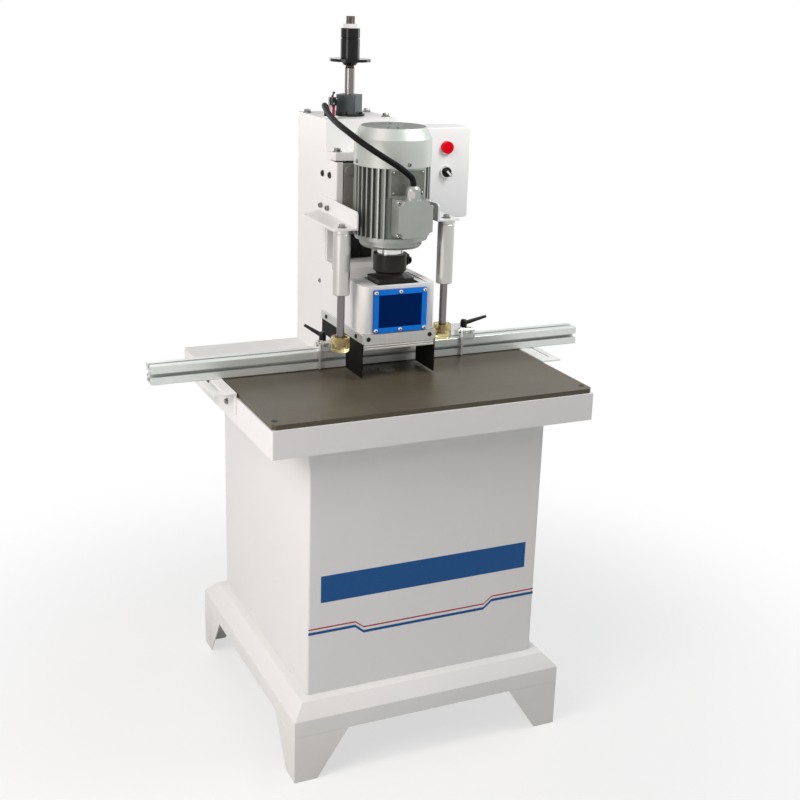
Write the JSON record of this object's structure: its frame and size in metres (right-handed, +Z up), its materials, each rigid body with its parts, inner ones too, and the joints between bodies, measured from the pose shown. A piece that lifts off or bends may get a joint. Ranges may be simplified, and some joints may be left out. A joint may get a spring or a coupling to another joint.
{
  "type": "hinge boring machine",
  "caption": "Floor-standing hinge boring machine: cabinet and table with slotted fence, column with vertical motor and geared boring head, air clamps, dust box and control box.",
  "frame": {"origin": "on the floor, under the middle of the machine's box (the cable left out)", "axes": "+X to the operator's right along the fence, +Y away from the operator, +Z up"},
  "size_m": [1, 0.656, 1.5],
  "materials": {
    "white_paint": "white powder coat",
    "table_laminate": "dark compact laminate, fine matt",
    "backing_grey": "grey insert, matt",
    "anodised_aluminium": "clear anodised",
    "motor_silver": "silver-grey motor paint",
    "black_steel": "blacked steel",
    "grey_casting": "dark grey paint",
    "chromed_bar": "hard chrome",
    "tool_steel": "ground",
    "cylinder_aluminium": "satin anodised tube",
    "black_rubber": "smooth rubber",
    "amber_urethane": "clear amber urethane",
    "blue_acrylic": "tinted clear sheet",
    "red_lens": "moulded lens",
    "black_plastic": "moulded",
    "white_nylon": "moulded",
    "cable_jacket": "jacket"
  },
  "bodies": {
    "machine": {"base_plinth": "white_paint", "corner_feet": "white_paint", "cabinet_shell": "white_paint", "rear_panel": "white_paint", "table_apron": "white_paint", "table_top": "table_laminate", "backing_disc": "backing_grey", "fence_bracket_left": "white_paint", "fence_bracket_right": "white_paint", "column_shell": "white_paint", "guide_rails": "tool_steel", "feed_cylinder": "cylinder_aluminium", "top_flange": "black_steel", "top_block": "grey_casting", "switch_bracket": "white_paint", "limit_switch": "black_plastic", "cable_grommet": "white_nylon", "clamp_bracket_left": "white_paint", "clamp_bracket_right": "white_paint", "clamp_cylinder_left": "cylinder_aluminium", "clamp_cylinder_right": "cylinder_aluminium", "dust_box": "white_paint", "dust_window": "blue_acrylic", "skirt_frame": "anodised_aluminium", "front_strip": "anodised_aluminium", "side_skirt_left": "black_rubber", "side_skirt_right": "black_rubber", "dust_duct": "white_paint", "control_box": "white_paint", "panel_bezels": "chromed_bar", "lamp_lens": "red_lens", "motor_cable": "cable_jacket"},
    "fence": {"fence_profile": "anodised_aluminium"},
    "stop_left": {"stop_base_left": "anodised_aluminium"},
    "stop_right": {"stop_base_right": "anodised_aluminium"},
    "finger_left": {"stop_finger_left": "chromed_bar"},
    "finger_right": {"stop_finger_right": "chromed_bar"},
    "lever_left": {"stop_lever_left": "black_plastic"},
    "lever_right": {"stop_lever_right": "black_plastic"},
    "head": {"carriage_plate": "grey_casting", "bearing_blocks": "tool_steel", "motor_frame": "motor_silver", "fan_cowl": "motor_silver", "end_bell": "motor_silver", "terminal_box": "motor_silver", "cable_gland": "motor_silver", "boring_housing": "black_steel", "feed_rod": "chromed_bar"},
    "drive": {"motor_shaft": "tool_steel", "cup_bit": "tool_steel"},
    "spindle_left": {"side_spindle_left": "tool_steel"},
    "spindle_right": {"side_spindle_right": "tool_steel"},
    "travel_stop": {"depth_stop": "black_steel", "lock_nut": "tool_steel"},
    "clamp_left": {"clamp_rod_left": "chromed_bar", "clamp_foot_left": "amber_urethane"},
    "clamp_right": {"clamp_rod_right": "chromed_bar", "clamp_foot_right": "amber_urethane"},
    "selector": {"selector_knob": "black_plastic"},
    "switch_arm": {"switch_lever": "tool_steel"}
  },
  "joints": [
    {"name": "fence_adjust", "type": "slide", "parent": "machine", "child": "fence", "axis": [0, 1, 0], "range_m": [-0.012, 0.015]},
    {"name": "stop_left_slide", "type": "slide", "parent": "fence", "child": "stop_left", "axis": [1, 0, 0], "range_m": [-0.25, 0]},
    {"name": "stop_right_slide", "type": "slide", "parent": "fence", "child": "stop_right", "axis": [1, 0, 0], "range_m": [-0.04, 0.2]},
    {"name": "finger_left_flip", "type": "hinge", "parent": "stop_left", "child": "finger_left", "pos_m": [-0.127, -0.005, 0.836], "axis": [-1, 0, 0], "range_deg": [0, 100]},
    {"name": "finger_right_flip", "type": "hinge", "parent": "stop_right", "child": "finger_right", "pos_m": [0.212, -0.005, 0.836], "axis": [-1, 0, 0], "range_deg": [0, 100]},
    {"name": "lever_left_turn", "type": "hinge", "parent": "stop_left", "child": "lever_left", "pos_m": [-0.122, 0.016, 0.843], "axis": [0, 0, 1], "range_deg": [0, 70]},
    {"name": "lever_right_turn", "type": "hinge", "parent": "stop_right", "child": "lever_right", "pos_m": [0.217, 0.016, 0.843], "axis": [0, 0, 1], "range_deg": [0, 90]},
    {"name": "head_feed", "type": "slide", "parent": "machine", "child": "head", "axis": [0, 0, 1], "range_m": [-0.06, 0]},
    {"name": "drive_spin", "type": "hinge", "parent": "head", "child": "drive", "pos_m": [0, -0.053, 0.96], "axis": [0, 0, 1], "continuous": true},
    {"name": "spindle_left_spin", "type": "hinge", "parent": "head", "child": "spindle_left", "pos_m": [-0.0225, -0.0625, 0.96], "axis": [0, 0, 1], "continuous": true},
    {"name": "spindle_right_spin", "type": "hinge", "parent": "head", "child": "spindle_right", "pos_m": [0.0225, -0.0625, 0.96], "axis": [0, 0, 1], "continuous": true},
    {"name": "depth_set", "type": "slide", "parent": "head", "child": "travel_stop", "axis": [0, 0, 1], "range_m": [0, 0.012]},
    {"name": "clamp_left_press", "type": "slide", "parent": "machine", "child": "clamp_left", "axis": [0, 0, 1], "range_m": [-0.05, 0]},
    {"name": "clamp_right_press", "type": "slide", "parent": "machine", "child": "clamp_right", "axis": [0, 0, 1], "range_m": [-0.05, 0]},
    {"name": "selector_turn", "type": "hinge", "parent": "machine", "child": "selector", "pos_m": [0.22, 0.134, 1.167], "axis": [0, 1, 0], "range_deg": [-90, 0]},
    {"name": "switch_press", "type": "hinge", "parent": "machine", "child": "switch_arm", "pos_m": [-0.049, 0.1595, 1.3345], "axis": [0, 1, 0], "range_deg": [0, 40], "stiffness_Nm_per_rad": 0.02}
  ],
  "couplings": [
    {"joint": "spindle_left_spin", "follows": "drive_spin", "ratio": -1},
    {"joint": "spindle_right_spin", "follows": "drive_spin", "ratio": -1}
  ]
}
